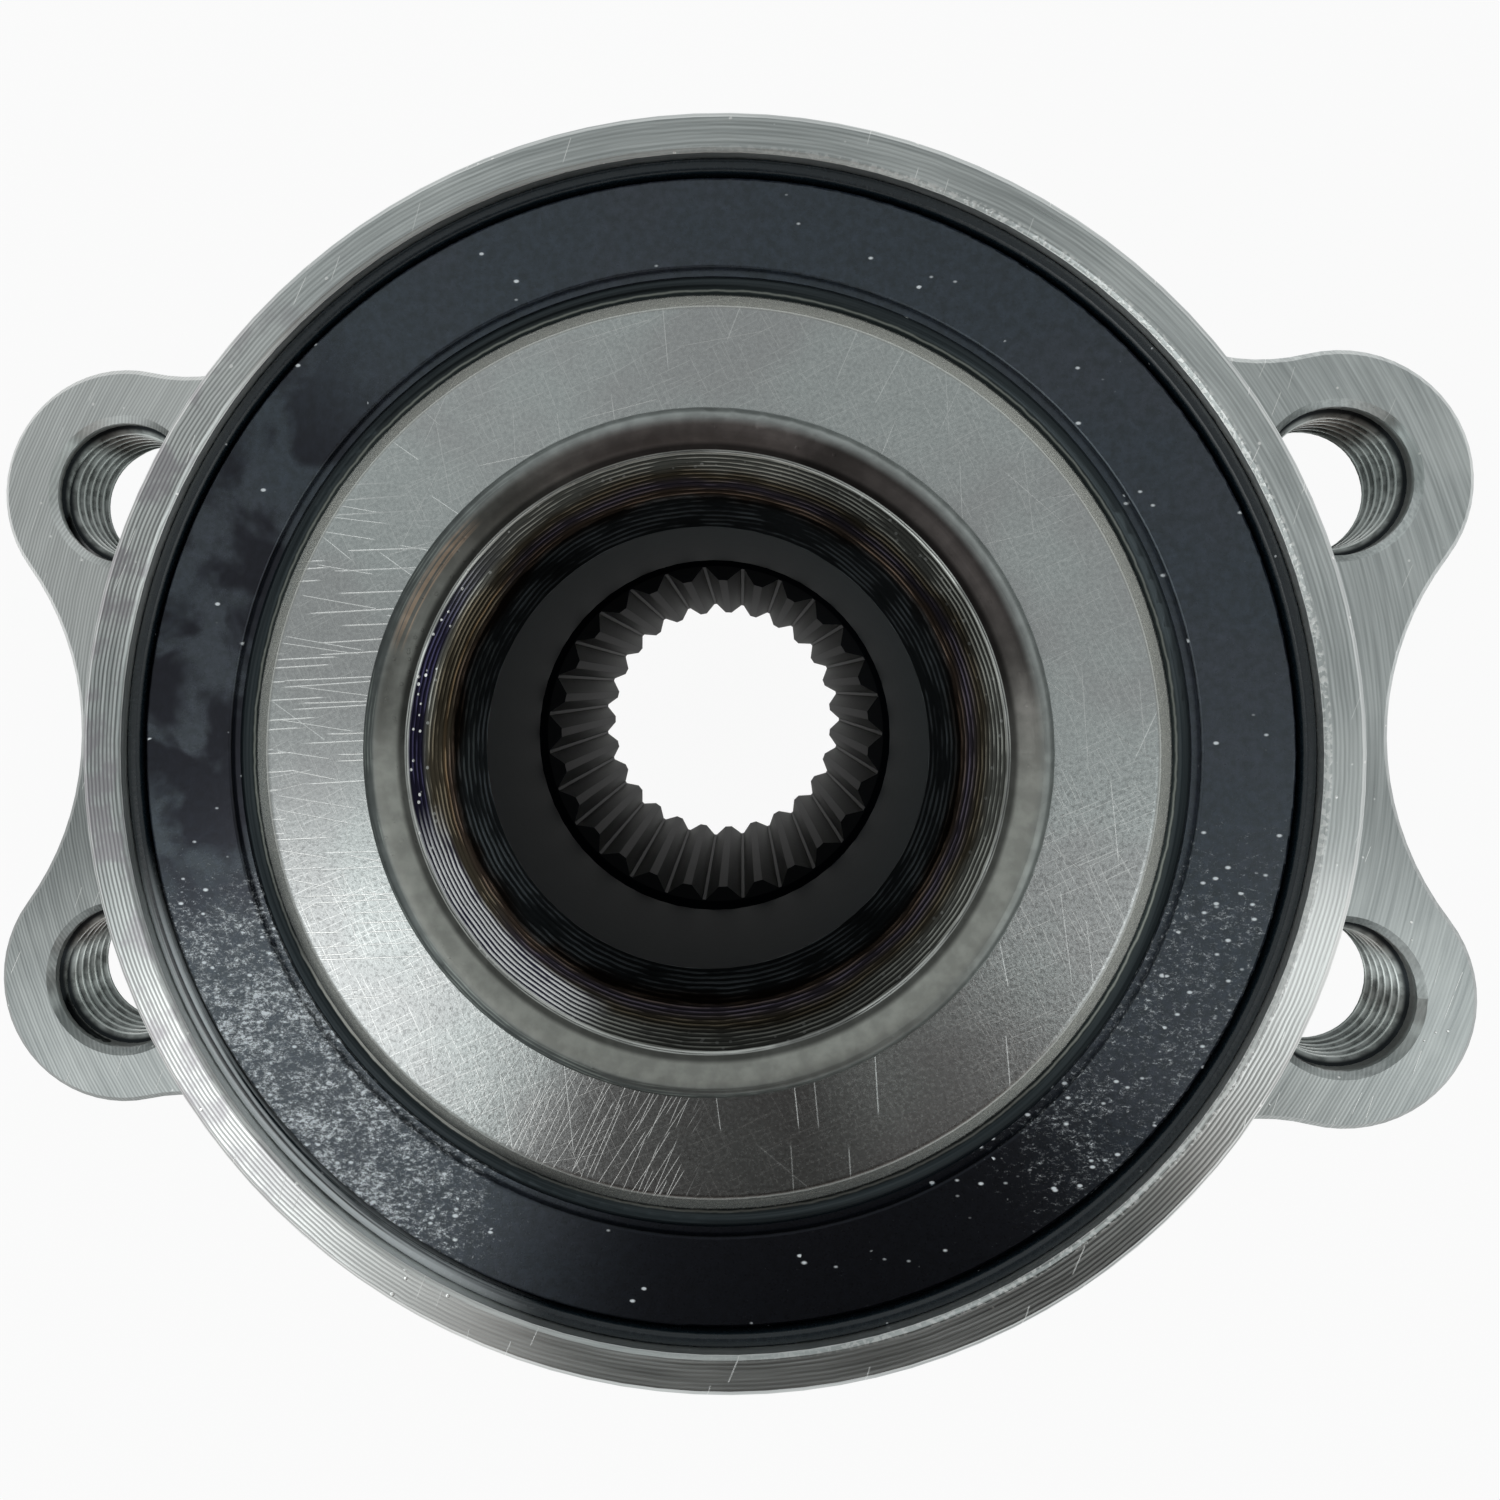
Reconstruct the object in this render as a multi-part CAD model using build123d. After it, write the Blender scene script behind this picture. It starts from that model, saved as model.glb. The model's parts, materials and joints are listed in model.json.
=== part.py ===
from build123d import *
import os
from math import cos, hypot, radians, sin, sqrt

# Driven-axle wheel hub bearing, millimetres.
# Z is the spin axis and points inboard, towards the vehicle.
# X runs along the wide direction of the bolt lugs.
# The origin is on the axis, in the face that bolts to the steering knuckle.

# ---- Outer ring: knuckle side ----
pilot_diameter = 82.0            # seats in the knuckle bore
pilot_length = 27.1              # from the knuckle face to the rim
pilot_chamfer = 0.4
pilot_wall = 2.6                 # around the inboard seal
pilot_undercut_depth = 0.5       # into the pilot and out across the face
pilot_undercut_width = 2.0
face_undercut_depth = 0.3        # into the knuckle face
lug_flange_thickness = 11.0
lug_spacing_x = 100.2
lug_spacing_y = 41.3
lug_radius = 10.5                # outline about each bolt hole
lug_waist_half_width = 53.8      # half width of the flange between two lugs of one side
lug_body_radius = 48.5           # round middle of the flange
lug_blend_radius = 15.0          # hollow between a lug and the round middle
lug_edge_break = 0.4
lug_thread_diameter = 12.0
lug_hole_chamfer = 0.55
barrel_wall = 4.6                # outboard of the lug flange, around the outboard seal
barrel_length = 30.0             # from the knuckle face to the outboard rim
barrel_chamfer = 1.5
barrel_taper = 5.0               # forged run-out between flange and barrel

# ---- Ball rows ----
ball_diameter = 11.1125
ball_count = 15                  # in each row
pitch_circle_depth = 10.0        # from the pilot in to the ball centres
row_spacing = 24.0
row_middle_height = -0.5         # halfway between the two rows
ball_clearance = 0.05            # between a ball and its grooves
outer_land_step = 3.6            # from the ball centres out to the ring between the rows
outer_relief_step = 1.7          # further out, on the seal side of each row
inner_land_step = 4.6            # from the ball centres in to the parts between the rows
inner_shoulder_step = 3.0        # further out, on the seal side of each row

# ---- Cages ----
cage_clearance = 0.3             # from the lands inside and outside it
cage_open_side = 2.9             # from ball centres to the open edge
cage_closed_side = 6.6           # from ball centres to the solid edge
cage_edge_fillet = 0.6
pocket_clearance = 0.1

# ---- Spindle, with its wheel flange ----
seat_radius = 20.25              # carries the separate inner ring
seat_height = 1.5                # shoulder that the inner ring stops on
bore_clearance = 0.25            # over the spline's root circle
bore_top_height = 21.4
lip_overhang = 1.5               # formed lip that holds the inner ring, past its seat
lip_setback = 1.25               # its inner edge, inside the seat
lip_rise = 1.6                   # its crest, above the inner ring's face
lip_edge_rise = 0.6              # its sharp inner edge, above the inner ring's face
lip_flank_width = 0.75           # of the flank inside the crest, without the round
lip_crest_fillet = 2.4
lip_outer_fillet = 0.8
lip_edge_fillet = 0.12
mouth_taper_width = 1.55         # between the bore and the lip's 45 degree cone
mouth_fillet = 0.6
relief_groove_depth = 0.85       # into the bore
relief_groove_top_height = -4.6
relief_groove_width = 4.1
spline_teeth = 27
spline_tip_radius = 13.55
spline_tooth_height = 1.15
spline_root_width = 0.3
spline_tip_gap = 2.3             # groove width at the tooth tips
spline_exit_chamfer = 1.0
nut_seat_height = -66.5
wheel_face_height = -48.0
wheel_flange_thickness = 9.5
wheel_flange_margin = 11.5       # from the stud circle to the flange's edge
wheel_flange_edge = 1.0
wheel_web_width = 6.4            # thicker web outside the seal face
wheel_web_extra = 2.5
seal_face_margin = 0.8           # raised face of the wheel-side dust lip, inside its seal's bore
seal_face_gap = 1.8              # from the outer ring's outboard rim
seal_face_fillet = 2.0
wheel_face_relief_width = 4.3
wheel_face_relief_depth = 0.5
wheel_pilot_radius = 31.7
wheel_pilot_length = 22.0        # beyond the wheel face
wheel_pilot_wall = 4.2
wheel_pilot_chamfer = 1.8
wheel_pilot_undercut = 0.5

# ---- Separate inner ring ----
inner_ring_face_proud = 0.3      # above the outer ring's rim
inner_ring_edge_width = 1.1
inner_ring_edge_height = 1.0     # height of the sloping outer edge
inner_ring_bore_chamfer = 1.4
inner_ring_heel_chamfer = 0.5

# ---- Seals ----
inboard_seal_depth = 8.0
outboard_seal_depth = 6.5
seal_case_thickness = 0.5
seal_bore_lead_in = 0.25
seal_case_floor_width = 5.0
seal_case_floor_gap = 0.3        # between the case and the seat's step
seal_coat_thickness = 0.4        # rubber inside the case
seal_nose_below_rim = 1.1
seal_nose_height = 0.9
seal_gap = 0.3                   # from the rubber to what turns inside it
seal_lip_thickness = 0.9
seal_lip_reach = 1.7
side_lip_offset = 1.5            # foot of the side lip, out from the case's inner edge
slinger_thickness = 0.6
slinger_foot_height = 5.0
slinger_bend_radius = 1.4
encoder_thickness = 0.8
encoder_skirt_gap = 0.1          # from the slinger's bend
encoder_skirt_width = 0.45       # thin rubber inside the magnetised track
encoder_skirt_thickness = 0.3
encoder_below_rim = 1.4

# ---- Wheel studs ----
stud_count = 5
stud_circle_diameter = 108.0
stud_thread_diameter = 12.0
stud_shoulder_diameter = 12.4
stud_head_diameter = 16.0
stud_head_height = 4.0
stud_head_edge = 0.8
stud_projection = 38.0           # beyond the wheel face
stud_tip_diameter = 9.2
stud_tip_length = 3.5
stud_tip_taper = 1.4
first_stud_angle = 90.0

# ---- Places that follow from the sizes above ----
pilot_radius = pilot_diameter / 2
seal_bore_radius = pilot_radius - pilot_wall
barrel_radius = seal_bore_radius + barrel_wall
ball_radius = ball_diameter / 2
pitch_radius = pilot_radius - pitch_circle_depth
groove_radius = ball_radius + ball_clearance
outer_land_radius = pitch_radius + outer_land_step
outer_relief_radius = outer_land_radius + outer_relief_step
inner_land_radius = pitch_radius - inner_land_step
inner_shoulder_radius = inner_land_radius + inner_shoulder_step
inner_ring_face_radius = inner_shoulder_radius - inner_ring_edge_width
lip_outer_radius = seat_radius + lip_overhang
lip_inner_radius = seat_radius - lip_setback
spline_root_radius = spline_tip_radius + spline_tooth_height
bore_radius = spline_root_radius + bore_clearance
relief_groove_radius = bore_radius + relief_groove_depth
mouth_taper_radius = bore_radius + mouth_taper_width
seal_face_radius = seal_bore_radius - seal_face_margin
wheel_flange_root_radius = seal_face_radius + wheel_web_width
wheel_face_relief_radius = wheel_pilot_radius + wheel_face_relief_width
rim_height = pilot_length
barrel_end_height = -barrel_length
inboard_row_height = row_middle_height + row_spacing / 2
outboard_row_height = row_middle_height - row_spacing / 2
inner_ring_face_height = rim_height + inner_ring_face_proud
wheel_flange_back_height = wheel_face_height + wheel_flange_thickness
wheel_flange_radius = stud_circle_diameter / 2 + wheel_flange_margin
seal_face_height = barrel_end_height - seal_face_gap
wheel_pilot_end_height = wheel_face_height - wheel_pilot_length
spline_top_height = relief_groove_top_height - relief_groove_width
inboard_seal_floor = rim_height - inboard_seal_depth
outboard_seal_floor = barrel_end_height + outboard_seal_depth
encoder_face_height = rim_height - encoder_below_rim
seal_case_inner_radius = seal_bore_radius - seal_case_floor_width
case_inside_radius = seal_bore_radius - seal_case_thickness
coat_inside_radius = case_inside_radius - seal_coat_thickness
encoder_outer_radius = coat_inside_radius - seal_gap
encoder_skirt_radius = inner_shoulder_radius + slinger_bend_radius + encoder_skirt_gap
encoder_inner_radius = encoder_skirt_radius + encoder_skirt_width


def turned(*profile):
    """Solid of revolution about Z from corners (radius, height, optional fillet)."""
    corners = [point[:2] for point in profile]
    fillets = [point[2] if len(point) > 2 else 0 for point in profile]
    outline = FilletPolyline(*corners, radius=fillets, close=True)
    return revolve(Plane.XZ * make_face(outline), Axis.Z)


def ball_groove(height):
    """Ring-shaped space that one row of balls rolls in."""
    return Pos(0, 0, height) * Torus(pitch_radius, groove_radius)


def ball_places(height):
    """Ball centres of the row at this height."""
    return [Rot(0, 0, i * 360 / ball_count) * Pos(pitch_radius, 0, height) for i in range(ball_count)]


def arc_about(centre, start, end):
    """The shorter arc about a centre, from start to end."""
    centre, start, end = Vector(*centre), Vector(*start), Vector(*end)
    middle = centre + ((start + end) / 2 - centre).normalized() * (start - centre).length
    return ThreePointArc(start, middle, end)


def lug_flange_outline():
    """Dog-bone outline: four round lugs, hollow waists and a round middle."""
    lug = Vector(lug_spacing_x / 2, lug_spacing_y / 2)
    overhang = lug_waist_half_width - lug.X
    waist_radius = (overhang**2 + lug.Y**2 - lug_radius**2) / (2 * (lug_radius - overhang))
    waist_centre = Vector(lug_waist_half_width + waist_radius, 0)

    # The blend circle touches the lug and the round middle from outside.
    to_body = lug_body_radius + lug_blend_radius
    to_lug = lug_radius + lug_blend_radius
    along = (to_body**2 - to_lug**2 + lug.length**2) / (2 * lug.length)
    across = sqrt(to_body**2 - along**2)
    direction = lug.normalized()
    blend_centre = direction * along + Vector(-direction.Y, direction.X) * across

    waist = Vector(lug_waist_half_width, 0)
    lug_low = lug + (waist_centre - lug).normalized() * lug_radius
    lug_high = lug + (blend_centre - lug).normalized() * lug_radius
    body_end = blend_centre.normalized() * lug_body_radius
    quarter = Curve() + [
        arc_about(waist_centre, waist, lug_low),
        arc_about(lug, lug_low, lug_high),
        arc_about(blend_centre, lug_high, body_end),
        arc_about((0, 0), body_end, (0, lug_body_radius)),
    ]
    half = quarter + mirror(quarter, Plane.YZ)
    return make_face(half + mirror(half, Plane.XZ))


def lug_flange():
    """Plate with four bolt holes, chamfered at both ends."""
    plate = extrude(Pos(0, 0, -lug_flange_thickness) * lug_flange_outline(), lug_flange_thickness)
    plate = chamfer(plate.edges().group_by(Axis.Z)[-1], lug_edge_break)
    plate = chamfer(plate.edges().group_by(Axis.Z)[0], lug_edge_break)
    hole = Cylinder(
        lug_thread_diameter / 2, lug_flange_thickness, align=(Align.CENTER, Align.CENTER, Align.MAX)
    )
    mouth_radius = lug_thread_diameter / 2 + lug_hole_chamfer
    mouth = Cone(
        mouth_radius - lug_hole_chamfer, mouth_radius, lug_hole_chamfer,
        align=(Align.CENTER, Align.CENTER, Align.MAX),
    )
    far_mouth = Pos(0, 0, -lug_flange_thickness) * mirror(mouth, Plane.XY)
    for place in GridLocations(lug_spacing_x, lug_spacing_y, 2, 2):
        plate -= place * (hole + mouth + far_mouth)
    return plate


def outer_ring():
    """Fixed ring: knuckle pilot, lug flange, both outer raceways and both seal seats."""
    barrel = turned(
        (seal_bore_radius + seal_bore_lead_in, rim_height),
        (pilot_radius - pilot_chamfer, rim_height),
        (pilot_radius, rim_height - pilot_chamfer),
        (pilot_radius, pilot_undercut_width),
        (pilot_radius - pilot_undercut_depth, pilot_undercut_width - pilot_undercut_depth),
        (pilot_radius - pilot_undercut_depth, -face_undercut_depth),
        (pilot_radius + pilot_undercut_depth - face_undercut_depth, -face_undercut_depth),
        (pilot_radius + pilot_undercut_depth, 0),
        (barrel_radius, 0),
        (lug_body_radius - lug_edge_break, -lug_flange_thickness / 2),
        (lug_body_radius - lug_edge_break, -lug_flange_thickness),
        (barrel_radius, -lug_flange_thickness - barrel_taper, barrel_taper / 2),
        (barrel_radius, barrel_end_height + barrel_chamfer),
        (barrel_radius - barrel_chamfer, barrel_end_height),
        (seal_bore_radius + seal_bore_lead_in, barrel_end_height),
        (seal_bore_radius, barrel_end_height + seal_bore_lead_in),
        (seal_bore_radius, outboard_seal_floor),
        (outer_relief_radius, outboard_seal_floor),
        (outer_relief_radius, outboard_row_height),
        (outer_land_radius, outboard_row_height),
        (outer_land_radius, inboard_row_height),
        (outer_relief_radius, inboard_row_height),
        (outer_relief_radius, inboard_seal_floor),
        (seal_bore_radius, inboard_seal_floor),
        (seal_bore_radius, rim_height - seal_bore_lead_in),
    )
    plate = lug_flange() - Cylinder(barrel_radius - pilot_undercut_depth, 4 * lug_flange_thickness)
    return barrel + plate - ball_groove(inboard_row_height) - ball_groove(outboard_row_height)


def spline_cutter():
    """Star-shaped space of the axle spline: a round bore with V-shaped grooves."""
    overlap = 1.0
    flank_slope = (spline_tip_gap - spline_root_width) / (spline_root_radius - spline_tip_radius)
    inner_width = spline_tip_gap + flank_slope * overlap
    inner_radius = spline_tip_radius - overlap
    groove = make_face(Polyline(
        (inner_radius, -inner_width / 2),
        (spline_root_radius, -spline_root_width / 2),
        (spline_root_radius, spline_root_width / 2),
        (inner_radius, inner_width / 2),
        close=True,
    ))
    space = Sketch() + Circle(spline_tip_radius) + PolarLocations(0, spline_teeth) * groove
    return extrude(Pos(0, 0, nut_seat_height) * space, spline_top_height - nut_seat_height)


def hub_spindle():
    """Turning spindle: formed lip, ring seat, outboard raceway, wheel flange and wheel pilot."""
    web_back_height = wheel_flange_back_height + wheel_web_extra
    cavity_radius = wheel_pilot_radius - wheel_pilot_wall
    core_radius = spline_tip_radius - 1
    lip_edge_height = inner_ring_face_height + lip_edge_rise
    lip_height = inner_ring_face_height + lip_rise
    mouth_taper_height = lip_edge_height - (lip_inner_radius - mouth_taper_radius)
    body = turned(
        (lip_inner_radius, lip_edge_height, lip_edge_fillet),
        (lip_inner_radius + lip_flank_width, lip_height, lip_crest_fillet),
        (lip_outer_radius, lip_height, lip_outer_fillet),
        (lip_outer_radius, inner_ring_face_height),
        (seat_radius + inner_ring_bore_chamfer, inner_ring_face_height),
        (seat_radius, inner_ring_face_height - inner_ring_bore_chamfer),
        (seat_radius, seat_height),
        (inner_land_radius, seat_height),
        (inner_land_radius, outboard_row_height),
        (inner_shoulder_radius, outboard_row_height),
        (inner_shoulder_radius, seal_face_height, seal_face_fillet),
        (seal_face_radius, seal_face_height, 0.4),
        (seal_face_radius, web_back_height, 1.5),
        (wheel_flange_root_radius - wheel_web_extra, web_back_height, wheel_web_extra / 2),
        (wheel_flange_root_radius, wheel_flange_back_height, wheel_web_extra / 2),
        (wheel_flange_radius - wheel_flange_edge, wheel_flange_back_height),
        (wheel_flange_radius, wheel_flange_back_height - wheel_flange_edge),
        (wheel_flange_radius, wheel_face_height + wheel_flange_edge),
        (wheel_flange_radius - wheel_flange_edge, wheel_face_height),
        (wheel_face_relief_radius, wheel_face_height),
        (wheel_face_relief_radius, wheel_face_height + wheel_face_relief_depth),
        (wheel_pilot_radius - wheel_pilot_undercut, wheel_face_height + wheel_face_relief_depth),
        (wheel_pilot_radius - wheel_pilot_undercut, wheel_face_height - 2 * wheel_pilot_undercut),
        (wheel_pilot_radius, wheel_face_height - 3 * wheel_pilot_undercut),
        (wheel_pilot_radius, wheel_pilot_end_height + 2 * wheel_pilot_chamfer),
        (wheel_pilot_radius - wheel_pilot_chamfer, wheel_pilot_end_height, 0.5),
        (cavity_radius, wheel_pilot_end_height, 0.5),
        (cavity_radius, nut_seat_height, 1.0),
        (spline_root_radius + spline_exit_chamfer, nut_seat_height),
        (core_radius, nut_seat_height + spline_exit_chamfer + spline_root_radius - core_radius),
        (core_radius, spline_top_height),
        (relief_groove_radius, spline_top_height),
        (relief_groove_radius, relief_groove_top_height),
        (bore_radius, relief_groove_top_height),
        (bore_radius, bore_top_height, mouth_fillet / 3),
        (mouth_taper_radius, mouth_taper_height, mouth_fillet),
    )
    body -= spline_cutter()
    body -= ball_groove(outboard_row_height)
    stud_hole = Pos(0, 0, wheel_face_height) * Cylinder(
        stud_shoulder_diameter / 2, wheel_flange_thickness,
        align=(Align.CENTER, Align.CENTER, Align.MIN),
    )
    for place in stud_places():
        body -= place * stud_hole
    return body


def inner_ring():
    """Inboard inner ring, pressed on the spindle and held by its formed lip."""
    ring = turned(
        (seat_radius, seat_height + inner_ring_heel_chamfer),
        (seat_radius + inner_ring_heel_chamfer, seat_height),
        (inner_land_radius, seat_height),
        (inner_land_radius, inboard_row_height),
        (inner_shoulder_radius, inboard_row_height),
        (inner_shoulder_radius, inner_ring_face_height - inner_ring_edge_height, 0.5),
        (inner_ring_face_radius, inner_ring_face_height, 0.5),
        (seat_radius + inner_ring_bore_chamfer, inner_ring_face_height),
        (seat_radius, inner_ring_face_height - inner_ring_bore_chamfer),
    )
    return ring - ball_groove(inboard_row_height)


def cage(height, closed_side):
    """Snap-in ball cage: a moulded band with a round pocket for each ball, open on one side.

    closed_side is 1 where the solid edge points up, and -1 where it points down.
    """
    open_edge = height - closed_side * cage_open_side
    closed_edge = height + closed_side * cage_closed_side
    inside = inner_shoulder_radius + cage_clearance
    outside = outer_land_radius - cage_clearance
    band = turned(
        (inside, open_edge),
        (outside, open_edge),
        (outside, closed_edge, cage_edge_fillet),
        (inside, closed_edge, cage_edge_fillet),
    )
    for place in ball_places(height):
        band -= place * Sphere(ball_radius + pocket_clearance)
    return band


def inboard_seal_case():
    """Pressed steel case of the inboard seal, with an inward floor."""
    floor = inboard_seal_floor + seal_case_floor_gap
    top = rim_height - seal_nose_below_rim - seal_nose_height
    return turned(
        (seal_bore_radius, top),
        (case_inside_radius, top),
        (case_inside_radius, floor + seal_case_thickness),
        (seal_case_inner_radius, floor + seal_case_thickness),
        (seal_case_inner_radius, floor),
        (seal_bore_radius, floor, seal_case_thickness),
    )


def inboard_seal_rubber():
    """Rubber of the inboard seal: nose, coat and two lips that face the slinger."""
    floor = inboard_seal_floor + seal_case_floor_gap + seal_case_thickness
    nose_top = rim_height - seal_nose_below_rim
    nose_foot = nose_top - seal_nose_height
    tip_radius = inner_shoulder_radius + slinger_thickness + seal_gap
    root_radius = seal_case_inner_radius + side_lip_offset
    coat_top = floor + seal_coat_thickness
    lip_tip_height = encoder_face_height - encoder_thickness - slinger_thickness - seal_gap
    return turned(
        (seal_bore_radius, nose_foot),
        (seal_bore_radius, nose_top, 0.3),
        (coat_inside_radius, nose_top, 0.3),
        (coat_inside_radius, coat_top, 0.4),
        (root_radius + seal_lip_thickness, coat_top),
        (root_radius + seal_lip_reach, lip_tip_height),
        (root_radius + seal_lip_reach - seal_lip_thickness / 2, lip_tip_height),
        (root_radius, coat_top),
        (seal_case_inner_radius - seal_lip_thickness, coat_top),
        (tip_radius, coat_top + seal_lip_reach),
        (tip_radius, coat_top + seal_lip_reach - seal_lip_thickness),
        (seal_case_inner_radius - 2 * seal_lip_thickness, floor - seal_case_thickness),
        (seal_case_inner_radius, floor - seal_case_thickness),
        (seal_case_inner_radius, floor),
        (case_inside_radius, floor),
        (case_inside_radius, nose_foot),
    )


def slinger():
    """Thin steel ring on the inner ring; its flange carries the speed encoder."""
    top = encoder_face_height - encoder_thickness
    bottom = top - slinger_foot_height
    outside = encoder_outer_radius - slinger_thickness
    return turned(
        (inner_shoulder_radius, bottom),
        (inner_shoulder_radius + slinger_thickness, bottom),
        (
            inner_shoulder_radius + slinger_thickness,
            top - slinger_thickness,
            slinger_bend_radius - slinger_thickness,
        ),
        (outside, top - slinger_thickness),
        (outside, top),
        (inner_shoulder_radius, top, slinger_bend_radius),
    )


def encoder_ring():
    """Magnetised rubber ring, bonded on the slinger's flange and round its edge."""
    back = encoder_face_height - encoder_thickness
    slinger_edge = encoder_outer_radius - slinger_thickness
    return turned(
        (encoder_skirt_radius, back),
        (encoder_skirt_radius, back + encoder_skirt_thickness),
        (encoder_inner_radius, back + encoder_skirt_thickness),
        (encoder_inner_radius, encoder_face_height, 0.2),
        (encoder_outer_radius, encoder_face_height, 0.2),
        (encoder_outer_radius, back - slinger_thickness),
        (slinger_edge, back - slinger_thickness),
        (slinger_edge, back),
    )


def outboard_seal_case():
    """Pressed steel case of the wheel-side seal."""
    floor = outboard_seal_floor - seal_case_floor_gap
    mouth = barrel_end_height + seal_nose_height
    return turned(
        (seal_bore_radius, mouth),
        (case_inside_radius, mouth),
        (case_inside_radius, floor - seal_case_thickness),
        (seal_case_inner_radius, floor - seal_case_thickness),
        (seal_case_inner_radius, floor),
        (seal_bore_radius, floor, seal_case_thickness),
    )


def outboard_seal_rubber():
    """Rubber of the wheel-side seal: nose, coat, a grease lip and an outer dust lip."""
    floor = outboard_seal_floor - seal_case_floor_gap - seal_case_thickness
    nose_tip = barrel_end_height
    nose_foot = nose_tip + seal_nose_height
    coat_face = floor - seal_coat_thickness
    tip_radius = inner_shoulder_radius + seal_gap
    dust_root = seal_case_inner_radius + side_lip_offset
    dust_tip_height = seal_face_height + seal_gap
    return turned(
        (seal_bore_radius, nose_foot),
        (seal_bore_radius, nose_tip, 0.3),
        (coat_inside_radius, nose_tip, 0.3),
        (coat_inside_radius, coat_face, 0.4),
        (dust_root + seal_lip_thickness, coat_face),
        (dust_root + seal_lip_reach, dust_tip_height),
        (dust_root + seal_lip_reach - seal_lip_thickness / 2, dust_tip_height),
        (dust_root, coat_face),
        (seal_case_inner_radius - seal_lip_thickness, coat_face),
        (tip_radius, coat_face - seal_lip_reach),
        (tip_radius, coat_face - seal_lip_reach + seal_lip_thickness),
        (seal_case_inner_radius - 2 * seal_lip_thickness, floor + seal_case_thickness),
        (seal_case_inner_radius, floor + seal_case_thickness),
        (seal_case_inner_radius, floor),
        (case_inside_radius, floor),
        (case_inside_radius, nose_foot),
    )


def stud_places():
    """One place for each wheel stud, on the stud circle."""
    return [
        Rot(0, 0, first_stud_angle + i * 360 / stud_count) * Pos(stud_circle_diameter / 2, 0, 0)
        for i in range(stud_count)
    ]


def wheel_stud():
    """Press-in stud: round head, shoulder in the flange, thread and a lead-in tip."""
    head_top = wheel_flange_back_height + stud_head_height
    tip = wheel_face_height - stud_projection
    thread_radius = stud_thread_diameter / 2
    return turned(
        (0, head_top),
        (stud_head_diameter / 2, head_top, stud_head_edge),
        (stud_head_diameter / 2, wheel_flange_back_height),
        (stud_shoulder_diameter / 2, wheel_flange_back_height),
        (stud_shoulder_diameter / 2, wheel_face_height),
        (thread_radius, wheel_face_height),
        (thread_radius, tip + stud_tip_length + stud_tip_taper),
        (stud_tip_diameter / 2, tip + stud_tip_length),
        (stud_tip_diameter / 2, tip, 0.5),
        (0, tip),
    )


parts = {
    "outer_ring": outer_ring(),
    "hub_spindle": hub_spindle(),
    "inner_ring": inner_ring(),
    "inboard_cage": cage(inboard_row_height, 1),
    "outboard_cage": cage(outboard_row_height, -1),
    "inboard_seal_case": inboard_seal_case(),
    "inboard_seal_rubber": inboard_seal_rubber(),
    "slinger": slinger(),
    "encoder_ring": encoder_ring(),
    "outboard_seal_case": outboard_seal_case(),
    "outboard_seal_rubber": outboard_seal_rubber(),
}
for number, place in enumerate(stud_places(), 1):
    parts[f"wheel_stud_{number}"] = place * wheel_stud()
for row, height in (("inboard", inboard_row_height), ("outboard", outboard_row_height)):
    for number, place in enumerate(ball_places(height), 1):
        parts[f"{row}_ball_{number:02d}"] = place * Sphere(ball_radius)

os.makedirs("parts", exist_ok=True)
for name, solid in parts.items():
    export_step(solid, f"parts/{name}.step")
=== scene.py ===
import json
from math import cos, radians, sin, tau

import bmesh
import bpy
from mathutils import Matrix, Quaternion, Vector

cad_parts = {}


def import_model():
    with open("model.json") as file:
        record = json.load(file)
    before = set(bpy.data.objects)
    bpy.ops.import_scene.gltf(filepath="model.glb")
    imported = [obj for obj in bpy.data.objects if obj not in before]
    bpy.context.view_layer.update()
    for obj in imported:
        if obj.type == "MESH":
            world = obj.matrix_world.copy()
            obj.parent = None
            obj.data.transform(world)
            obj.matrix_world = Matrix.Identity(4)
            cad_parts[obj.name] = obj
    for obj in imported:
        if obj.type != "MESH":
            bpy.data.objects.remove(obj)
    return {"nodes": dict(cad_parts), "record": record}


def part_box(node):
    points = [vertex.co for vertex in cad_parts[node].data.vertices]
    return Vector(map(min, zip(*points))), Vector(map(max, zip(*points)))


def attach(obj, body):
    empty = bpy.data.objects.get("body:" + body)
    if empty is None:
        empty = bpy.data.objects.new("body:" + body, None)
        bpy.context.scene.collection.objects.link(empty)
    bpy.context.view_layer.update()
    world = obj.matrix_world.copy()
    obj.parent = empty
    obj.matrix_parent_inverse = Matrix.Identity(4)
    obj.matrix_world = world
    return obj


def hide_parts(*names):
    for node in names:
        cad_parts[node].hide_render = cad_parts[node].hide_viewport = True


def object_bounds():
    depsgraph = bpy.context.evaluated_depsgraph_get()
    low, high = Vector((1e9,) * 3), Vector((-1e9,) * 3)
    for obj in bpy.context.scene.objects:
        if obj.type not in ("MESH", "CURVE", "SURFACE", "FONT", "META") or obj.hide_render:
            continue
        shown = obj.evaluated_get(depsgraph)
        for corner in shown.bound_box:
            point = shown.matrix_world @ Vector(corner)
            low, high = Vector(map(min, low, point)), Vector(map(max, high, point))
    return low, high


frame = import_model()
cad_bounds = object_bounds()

MM = 0.001


def mount(name):
    """One mount of the record."""
    return next(row for row in frame["record"]["mounts"] if row["name"] == name)


# Heights from the frame, in metres.
FLOOR = cad_bounds[0][2]
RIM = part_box("outer_ring")[1][2]
WHEEL_FACE = mount("wheel_studs")["pos_m"][2]


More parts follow.
